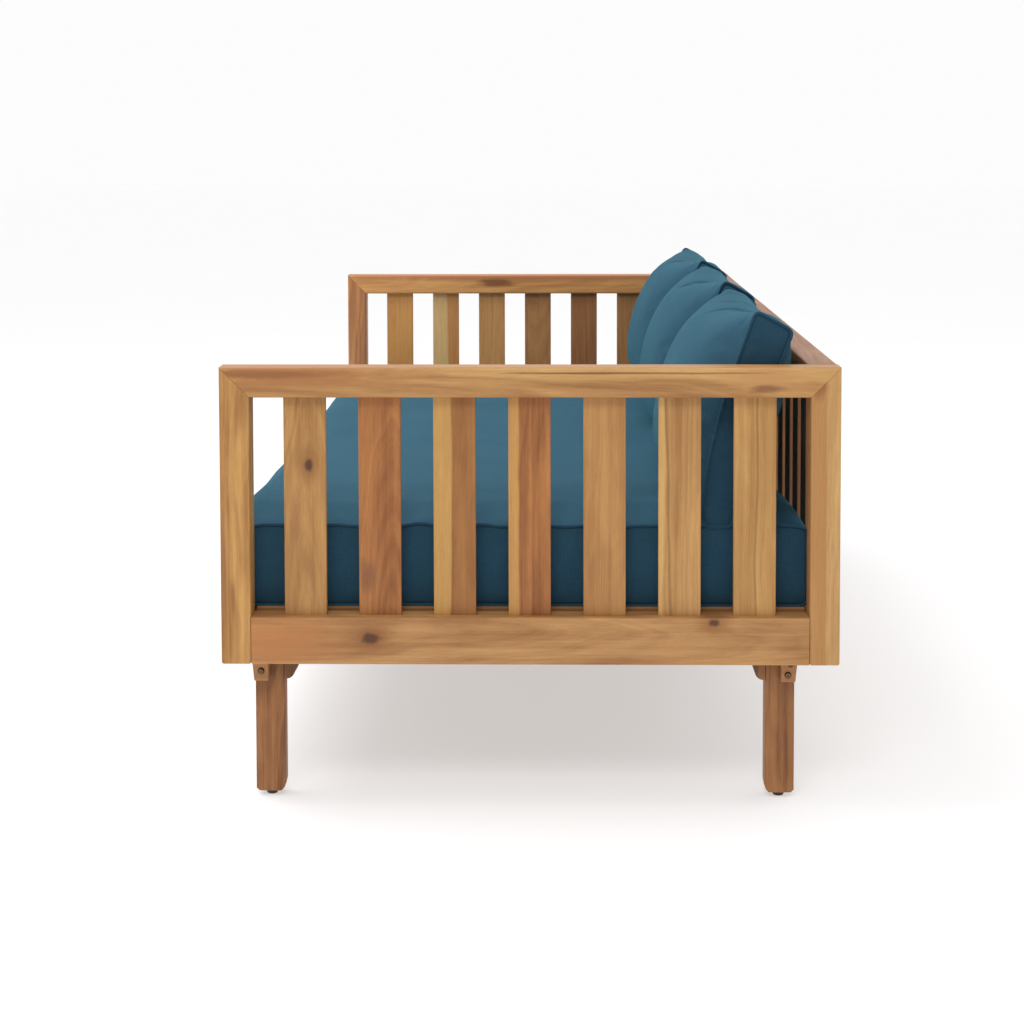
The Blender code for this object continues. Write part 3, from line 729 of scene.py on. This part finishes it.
class Cushion:
    """A boxed cushion: one wrap round the length, and an end panel sewn in at each end with a cord.

    section(u, p, q) gives (x, y, z): u runs -1..1 along the length, p across the end panel, q up it.
    """

    def __init__(self, name, cells, section):
        self.name = name
        self.along, self.across, self.tall = cells
        self.section = section
        self.ring = grid_ring(self.across, self.tall)
        self.build()

    def grid_place(self, column, row):
        return 2 * column / self.across - 1, 2 * row / self.tall - 1

    def build(self):
        ring = self.ring
        count = len(ring)
        points = []
        for station in range(self.along + 1):
            u = 2 * station / self.along - 1
            points += [self.section(u, *self.grid_place(*spot)) for spot in ring]
        faces = []
        maps = []
        gaps = [math.dist(points[i], points[(i + 1) % count]) for i in range(count)]
        run = np.concatenate([[0], np.cumsum(gaps)])
        xs = [points[station * count][0] for station in range(self.along + 1)]
        for station in range(self.along):
            for i in range(count):
                j = (i + 1) % count
                a = station * count
                b = a + count
                faces.append((a + i, b + i, b + j, a + j))
                maps.append([(xs[station], run[i]), (xs[station + 1], run[i]),
                             (xs[station + 1], run[i + 1]), (xs[station], run[i + 1])])
        self.seams = []
        for end, station in ((-1, 0), (1, self.along)):
            first = station * count
            number = {spot: first + i for i, spot in enumerate(ring)}
            self.seams.append(list(range(first, first + count)))
            for column in range(1, self.across):
                for row in range(1, self.tall):
                    number[column, row] = len(points)
                    points.append(self.section(end, *self.grid_place(column, row)))
            for column in range(self.across):
                for row in range(self.tall):
                    corners = [(column, row), (column + 1, row), (column + 1, row + 1), (column, row + 1)]
                    if end < 0:
                        corners.reverse()
                    face = tuple(number[c] for c in corners)
                    faces.append(face)
                    maps.append([(points[i][1] + PANEL_MAP_SHIFT, points[i][2]) for i in face])
        self.object = new_mesh_object(self.name, points, faces)
        mesh = self.object.data
        layer = mesh.uv_layers.new(name=WEAVE_MAP)
        for face, corners in zip(mesh.polygons, maps):
            for loop, place in zip(face.loop_indices, corners):
                layer.data[loop].uv = place
        face_outwards(mesh)

    def seam_distance(self):
        """Each vertex's distance from the nearer corded seam, counted along the length."""
        points = coordinates(self.object.data)
        seam = points[[i for ring in self.seams for i in ring]]
        near = []
        for start in range(0, len(points), DISTANCE_BLOCK):
            gaps = points[start:start + DISTANCE_BLOCK, None, :] - seam[None, :, :]
            near.append(np.linalg.norm(gaps, axis=2).min(axis=1))
        return np.concatenate(near)

    def inflate(self, pressure, cap, slack):
        """Cloth simulation: a cover cut a little too large swells between its seams, which hold still."""
        target = self.object
        before = coordinates(target.data)
        seam = target.vertex_groups.new(name="seam")
        seam.add([i for ring in self.seams for i in ring], 1.0, "REPLACE")
        cloth = target.modifiers.new("Cloth", "CLOTH")
        settings = cloth.settings
        for key, value in CLOTH_SETTINGS.items():
            setattr(settings, key, value)
        settings.uniform_pressure_force = pressure
        settings.effector_weights.gravity = 0
        settings.shrink_min = -slack
        cloth.collision_settings.use_collision = False
        cloth.collision_settings.use_self_collision = False
        scene = bpy.context.scene
        for step in range(1, SIM_FRAMES + 1):
            scene.frame_set(step)
        graph = bpy.context.evaluated_depsgraph_get()
        after = coordinates(target.evaluated_get(graph).data)
        target.modifiers.remove(cloth)
        scene.frame_set(1)
        moved = after - before
        far = np.linalg.norm(moved, axis=1, keepdims=True)
        moved *= np.minimum(1.0, cap / np.maximum(far, TINY))
        set_coordinates(target.data, before + moved)

    def pucker(self, depth, pitch, reach, seed, broad, broad_size):
        """Small gathers that run out from the seams, and broad soft unevenness."""
        mesh = self.object.data
        points = coordinates(mesh)
        near = self.seam_distance()
        normals = np.array([v.normal for v in mesh.vertices])
        middle = points.mean(axis=0)
        for i, point in enumerate(points):
            turn = math.atan2(point[2] - middle[2], point[1] - middle[1])
            across = Vector((0.0, point[1] / pitch, point[2] / pitch + 0.1 * turn))
            gather = noise.noise(across + Vector((seed, 0.0, math.copysign(GATHER_SIDES, point[0]))))
            soft = noise.noise(Vector(point) / broad_size + Vector((seed, seed, 0.0)))
            fall = math.exp(-near[i] / reach) * min(1.0, near[i] / (GATHER_FULL * reach))
            points[i] += normals[i] * (depth * gather * fall * GATHER_GAIN + broad * soft)
        set_coordinates(mesh, points)

    def keep_clear(self, rule):
        """Moves vertices back to where rule(points) allows."""
        mesh = self.object.data
        set_coordinates(mesh, rule(coordinates(mesh)))

    def finish(self, material, cord_material, slot, fill):
        """Sinks the seams into their cords, subdivides the cover, adds the cords and hands it all over."""
        mesh = self.object.data
        points = coordinates(mesh)
        paths = [points[ring] for ring in self.seams]
        seam_sets = [set(ring) for ring in self.seams]
        crease = mesh.attributes.new("crease_edge", "FLOAT", "EDGE")
        for edge in mesh.edges:
            a, b = edge.vertices
            if any(a in ring and b in ring for ring in seam_sets):
                crease.data[edge.index].value = SEAM_CREASE
        middle = points.mean(axis=0)
        for ring, end in zip(self.seams, (-1, 1)):
            inward = middle - points[ring]
            inward[:, 0] = 0
            inward /= np.linalg.norm(inward, axis=1, keepdims=True)
            points[ring] += inward * SEAM_SINK * CORD_RADIUS
            points[ring, 0] -= end * SEAM_SINK * CORD_RADIUS
        set_coordinates(mesh, points)
        fine = self.object.modifiers.new("Subdivision", "SUBSURF")
        fine.levels = 1
        fine.render_levels = 1
        graph = bpy.context.evaluated_depsgraph_get()
        shaped = bpy.data.meshes.new_from_object(self.object.evaluated_get(graph))
        self.object.modifiers.clear()
        self.object.vertex_groups.clear()
        self.object.data = shaped
        shaped.materials.clear()
        shaped.materials.append(material)
        shaped.shade_smooth()
        for path, end in zip(paths, ("left", "right")):
            cord = cord_piece(f"{self.name}_{end}_cord", path, cord_material)
            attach(cord, self.name)
        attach(self.object, self.name)
        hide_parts(self.name)


def cord_piece(name, path, material):
    """A round cord along a closed path of points."""
    for _ in range(CORD_SMOOTHINGS):
        middle = (path + np.roll(path, -1, axis=0)) / 2
        sides = np.roll(path, 1, axis=0) + np.roll(path, -1, axis=0)
        smooth = (sides + CORD_KEEP * path) / (CORD_KEEP + 2)
        path = np.stack([smooth, middle], axis=1).reshape(-1, 3)
    ahead = np.roll(path, -1, axis=0) - np.roll(path, 1, axis=0)
    ahead /= np.linalg.norm(ahead, axis=1, keepdims=True)
    side = np.tile([1.0, 0.0, 0.0], (len(path), 1))
    side -= ahead * (side * ahead).sum(axis=1, keepdims=True)
    side /= np.linalg.norm(side, axis=1, keepdims=True)
    up = np.cross(ahead, side)
    turns = np.linspace(0, 2 * math.pi, CORD_SIDES, endpoint=False)
    rings = path[:, None, :] + CORD_RADIUS * (
        np.cos(turns)[None, :, None] * side[:, None, :] + np.sin(turns)[None, :, None] * up[:, None, :]
    )
    count = len(path)
    faces = []
    for i in range(count):
        j = (i + 1) % count
        for k in range(CORD_SIDES):
            n = (k + 1) % CORD_SIDES
            faces.append((i * CORD_SIDES + k, j * CORD_SIDES + k, j * CORD_SIDES + n, i * CORD_SIDES + n))
    made = new_mesh_object(name, rings.reshape(-1, 3), faces)
    run = np.concatenate([[0], np.cumsum(np.linalg.norm(np.roll(path, -1, axis=0) - path, axis=1))])
    layer = made.data.uv_layers.new(name=WEAVE_MAP)
    around = 2 * math.pi * CORD_RADIUS / CORD_SIDES
    for number, face in enumerate(made.data.polygons):
        i, k = divmod(number, CORD_SIDES)
        corners = [(run[i], k), (run[i + 1], k), (run[i + 1], k + 1), (run[i], k + 1)]
        for loop, (u, v) in zip(face.loop_indices, corners):
            layer.data[loop].uv = (u, v * around)
    face_outwards(made.data)
    made.data.materials.append(material)
    made.data.shade_smooth()
    return made


def rounded(across, up, half_across, half_up, radius):
    """Moves a point of a rectangle so that the rectangle gets round corners."""
    core_a = max(-(half_across - radius), min(half_across - radius, across))
    core_u = max(-(half_up - radius), min(half_up - radius, up))
    off_a = across - core_a
    off_u = up - core_u
    size = math.hypot(off_a, off_u)
    if size < TINY:
        return across, up
    pull = max(abs(off_a), abs(off_u)) / size
    return core_a + off_a * pull, core_u + off_u * pull


def power(value, exponent):
    return abs(value) ** exponent


# the seat mattress
SEAT_ROUND = 0.014
SEAT_CROWN = 0.016
SEAT_FRONT_BULGE = (0.022, 0.25, 0.4)  # in metres, its share lost at the seams and that at the ends
SEAT_REAR_BULGE = (0.004, 0.7, 1.0)
SEAT_TALL = 0.1205  # of the end panels
SEAT_END_CLEAR = 0.004
SEAT_REAR_OVER = 0.005  # how far the cover stands past the plain solid
SEAT_END_POWER = 14.0  # the higher, the nearer to the ends the section stays full
SEAT_TOP_POWER = 44.0  # the higher, the flatter the top up to its front and rear edges
SEAT_WAVE = 0.006  # unevenness of the end panels' top seams
SEAT_WAVES = (11.0, 23.0, 5.0)  # their scales and their start
SEAT_WAVE_POWER = 30.0
SEAT_PANEL_POWER = 10.0
SEAT_CELLS = (148, 66, 10)
SEAT_SWELLING = dict(pressure=3.0, cap=0.010, slack=0.008)
SEAT_GATHERS = dict(depth=0.0024, pitch=0.030, reach=0.035, seed=1.7, broad=0.0020, broad_size=0.16)
SEAT_FILL = 0.85

deck_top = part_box("seat_deck")[1].z
seat_low, seat_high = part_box("seat_cushion")
end_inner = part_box("right_end_bottom_rail")[0].x
slat_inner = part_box("back_slat_01")[0].y


def seat_section(u, p, q):
    half_y = (seat_high.y + SEAT_REAR_OVER - seat_low.y) / 2
    half_z = SEAT_TALL / 2
    y, z = rounded(p * half_y, q * half_z, half_y, half_z, SEAT_ROUND)
    length = 1 - power(u, SEAT_END_POWER)
    z += SEAT_CROWN * max(q, 0.0) * length * (1 - power(p, SEAT_TOP_POWER))
    bulge, seam_loss, end_loss = SEAT_FRONT_BULGE if p < 0 else SEAT_REAR_BULGE
    y += bulge * p * (1 - seam_loss * q * q) * (1 - end_loss * (1 - length))
    wave = noise.noise(Vector((SEAT_WAVES[0] * u, SEAT_WAVES[1] * y, SEAT_WAVES[2] + u)))
    z += SEAT_WAVE * wave * max(q, 0.0) * power(u, SEAT_WAVE_POWER)
    x = u * (seat_high.x - SEAT_END_CLEAR)
    if abs(u) == 1:
        x += u * PANEL_SWELL * (1 - power(p, SEAT_PANEL_POWER)) * (1 - q * q)
    return x, (seat_low.y + SEAT_REAR_OVER + seat_high.y) / 2 + y, deck_top + CLEAR + half_z + z


def seat_rule(points):
    points[:, 2] = np.maximum(points[:, 2], deck_top + CLEAR)
    points[:, 0] = np.clip(points[:, 0], -end_inner + 2 * CLEAR, end_inner - 2 * CLEAR)
    points[:, 1] = np.minimum(points[:, 1], slat_inner - CLEAR)
    return points


# the back cushions
BACK_LEAN = math.radians(15.8)
BACK_BOW = 0.0085  # how far the panel's middle stands forward of its ends
BACK_HALF_THICK = 0.0305
BACK_HALF_TALL = 0.1615
BACK_FOOT_TAPER = 0.25
BACK_FOOT_POWER = 1.5
BACK_TOP_SLANT = 0.007
BACK_FOOT = (0.2730, 0.4000)  # of the end panel, across and up
BACK_SLUMP = 0.008  # how much a cushion's left top corner has sunk
BACK_POSES = [(1.6, 1.4), (0.9, 1.4), (0.0, 1.7)]  # degrees: more lean, and more again at the left end
BACK_ROUND_TOP = 0.007
BACK_ROUND_FOOT = 0.020
BACK_END_POWER = 4.2  # the higher, the nearer to the ends the section stays full
BACK_BELLY_POWER = 2.4  # and the same towards the top and the foot
BACK_PANEL_POWER = 6.0
FRONT_CROWN = 0.057
REAR_CROWN = 0.020
TOP_CROWN = 0.006
BACK_CELLS = (72, 7, 38)
BACK_ROW_CLEAR = 0.001  # between the row of cushions and the seat's end
BACK_LENGTH_CLEAR = 0.003
BACK_SWELLING = dict(pressure=4.0, cap=0.026, slack=0.015)
BACK_GATHERS = dict(depth=0.0016, pitch=0.022, reach=0.045, broad=0.003, broad_size=0.13)
BACK_GATHERS_SEED = 3.1
BACK_FILL = 0.9
RAIL_MARGIN = 0.004  # below the rail, where a cushion already keeps clear of it
SEAT_MARGIN = 0.02  # above the seat's plain solid, where a cushion may touch the seat
SEAT_LOOK_FROM = 0.1

rail_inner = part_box("back_top_rail")[0].y
rail_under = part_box("back_top_rail")[0].z


def back_section(low_x, high_x, lean, twist):
    """The section of one back cushion: a leaning panel that leans back more, by twist, to its left end."""
    half_x = (high_x - low_x) / 2 - BACK_LENGTH_CLEAR
    middle_x = (high_x + low_x) / 2

    def section(u, p, q):
        half = BACK_HALF_THICK * (1 - BACK_FOOT_TAPER * max(-q, 0.0) ** BACK_FOOT_POWER)
        radius = BACK_ROUND_TOP if q > 0 else BACK_ROUND_FOOT
        across, up = rounded(p * half, q * BACK_HALF_TALL, half, BACK_HALF_TALL, radius)
        across -= BACK_BOW * (1 - q * q)
        up -= BACK_TOP_SLANT * p * max(q, 0.0) ** 2
        body = 1 - power(u, BACK_END_POWER)
        belly = 1 - power(q, BACK_BELLY_POWER)
        across += (FRONT_CROWN if p < 0 else REAR_CROWN) * p * belly * body
        up += TOP_CROWN * max(q, 0.0) ** 3 * (1 - p * p) * body
        x = u * half_x
        if abs(u) == 1:
            x += u * PANEL_SWELL * (1 - p * p) * (1 - power(q, BACK_PANEL_POWER))
        left = (1 - u) / 2
        turn = lean + twist * left
        up += BACK_HALF_TALL - BACK_SLUMP * left * max(q, 0.0)
        y = BACK_FOOT[0] + across * math.cos(turn) + up * math.sin(turn)
        z = BACK_FOOT[1] - across * math.sin(turn) + up * math.cos(turn)
        return middle_x + x, y, z

    return section


def back_rule(low_x, high_x, seat_tree):
    """Stays off the slats, the rail, the neighbours and the seat, and lies flat where it touches."""

    def rule(points):
        points[:, 0] = np.clip(points[:, 0], low_x + CLEAR, high_x - CLEAR)
        beside_rail = points[:, 2] > rail_under - RAIL_MARGIN
        points[:, 1] = np.minimum(points[:, 1], np.where(beside_rail, rail_inner, slat_inner) - CLEAR)
        for i, (x, y, z) in enumerate(points):
            if z < seat_high.z + SEAT_MARGIN:
                start = Vector((x, y, seat_high.z + SEAT_LOOK_FROM))
                touch = seat_tree.ray_cast(start, Vector((0, 0, -1)))[0]
                if touch is not None:
                    points[i, 2] = max(z, touch.z + CLEAR)
        return points

    return rule


def make_cushion(name, cells, section, rule, swelling, gathers):
    made = Cushion(name, cells, section)
    made.inflate(**swelling)
    made.keep_clear(rule)
    made.pucker(**gathers)
    made.keep_clear(rule)
    return made


def make_cushions():
    cloths = cloth_material("woven_cloth", PANEL_BUMP), cloth_material("cord_cloth", CORD_BUMP)
    seat = make_cushion("seat_cushion", SEAT_CELLS, seat_section, seat_rule, SEAT_SWELLING, SEAT_GATHERS)
    seat.finish(*cloths, "seat_fabric", SEAT_FILL)
    mesh = seat.object.data
    seat_tree = BVHTree.FromPolygons([v.co[:] for v in mesh.vertices], [f.vertices[:] for f in mesh.polygons])
    pitch = 2 * (seat_high.x - BACK_ROW_CLEAR) / 3
    for number, name in enumerate(("left", "middle", "right")):
        low_x = -1.5 * pitch + number * pitch
        high_x = low_x + pitch
        lean, twist = (math.radians(angle) for angle in BACK_POSES[number])
        section = back_section(low_x, high_x, BACK_LEAN + lean, twist)
        gathers = BACK_GATHERS | dict(seed=BACK_GATHERS_SEED + number)
        rule = back_rule(low_x, high_x, seat_tree)
        back = make_cushion(name + "_back_cushion", BACK_CELLS, section, rule, BACK_SWELLING, gathers)
        back.finish(*cloths, "back_fabric", BACK_FILL)


make_cushions()

# ---------------------------------------------------------------- stage, light and camera

FLOOR_HALF = 30.0
FLOOR_STEPS = 24
FLOOR_DROP = 0.0004  # keeps the floor off the glides' undersides
FLOOR_TONES = [(0.55, 0.55, 0.555, 1.0), (0.58, 0.58, 0.585, 1.0)]
FLOOR_SURFACE = {
    "Emission Color": (1.0, 1.0, 1.0, 1.0),
    "Emission Strength": 0.483,
    "Roughness": 0.9,
    "Specular IOR Level": 0.1,
}
SKY_BRIGHT = (0.98, 0.98, 0.985, 1.0)
SKY_DIM = (0.46, 0.46, 0.46, 1.0)  # beyond the right-hand end
SKY_TURN = (-0.1, 0.8)  # the X of a direction where the sky starts and ends to dim
LIGHTS = {  # where it is, what it aims at, its size in metres and its watts
    "top_softbox": ((0.0, -1.7, 3.2), (0.0, 0.0, 0.4), (2.6, 2.4), 62),
    "front_softbox": ((4.6, -0.5, 4.2), (0.6, 0.0, 0.4), (2.2, 1.6), 80),
}
CAMERA_AT = (3.952925, 0.032037, 0.9919)
CAMERA_TURN = (1.092, 3.455, -0.123)  # degrees: turn left, tilt down, roll
CAMERA_LENS = 72.42
CAMERA_SENSOR = 36.0
CAMERA_SHIFT_Y = -0.2513
CAMERA_REACH = 200.0


def make_floor():
    """A very large pale floor, just below the feet."""
    grid = bmesh.new()
    bmesh.ops.create_grid(grid, x_segments=FLOOR_STEPS, y_segments=FLOOR_STEPS, size=FLOOR_HALF)
    mesh = bpy.data.meshes.new("floor")
    grid.to_mesh(mesh)
    grid.free()
    floor = place_in_scene("floor", mesh)
    floor.location.z = -FLOOR_DROP
    made, tree, surface = new_material("pale_floor", FLOOR_SURFACE)
    colour = tree.blend(tree.noise(tree.place(), 2.0, 3.0), *FLOOR_TONES)
    tree.link(colour, surface.inputs["Base Color"])
    floor.data.materials.append(made)


def make_light(name, where, at, size, watts):
    data = bpy.data.lights.new(name, "AREA")
    data.shape = "RECTANGLE"
    data.size, data.size_y = size
    data.energy = watts
    lamp = place_in_scene(name, data)
    lamp.location = where
    lamp.rotation_euler = (Vector(at) - Vector(where)).to_track_quat("-Z", "Y").to_euler()


def make_stage():
    make_floor()
    world = bpy.data.worlds.new("studio")
    world.use_nodes = True
    tree = NodeTree(world.node_tree)
    heading = tree.add("ShaderNodeTexCoord").outputs["Generated"]
    dimming = tree.ramp(tree.split(heading)[0], *SKY_TURN)
    sky = tree.blend(dimming, SKY_BRIGHT, SKY_DIM)
    tree.link(sky, tree.inner.nodes["Background"].inputs[0])
    for name, looks in LIGHTS.items():
        make_light(name, *looks)
    scene = bpy.context.scene
    scene.world = world
    scene.view_settings.view_transform = "Standard"
    scene.view_settings.look = "None"


def make_camera():
    turn, tilt, roll = (math.radians(v) for v in CAMERA_TURN)
    data = bpy.data.cameras.new("camera")
    data.lens = CAMERA_LENS
    data.sensor_width = CAMERA_SENSOR
    data.shift_y = CAMERA_SHIFT_Y
    data.clip_end = CAMERA_REACH
    camera = place_in_scene("camera", data)
    heading = Matrix.Rotation(turn, 3, "Z")
    back = heading @ Vector((math.cos(tilt), 0, math.sin(tilt)))
    up = heading @ Vector((-math.sin(tilt), 0, math.cos(tilt)))
    right = heading @ Vector((0, 1, 0))
    across = math.cos(roll) * right + math.sin(roll) * up
    upward = -math.sin(roll) * right + math.cos(roll) * up
    basis = Matrix((across, upward, back)).transposed().to_4x4()
    camera.matrix_world = Matrix.Translation(CAMERA_AT) @ basis
    bpy.context.scene.camera = camera


make_stage()
make_camera()
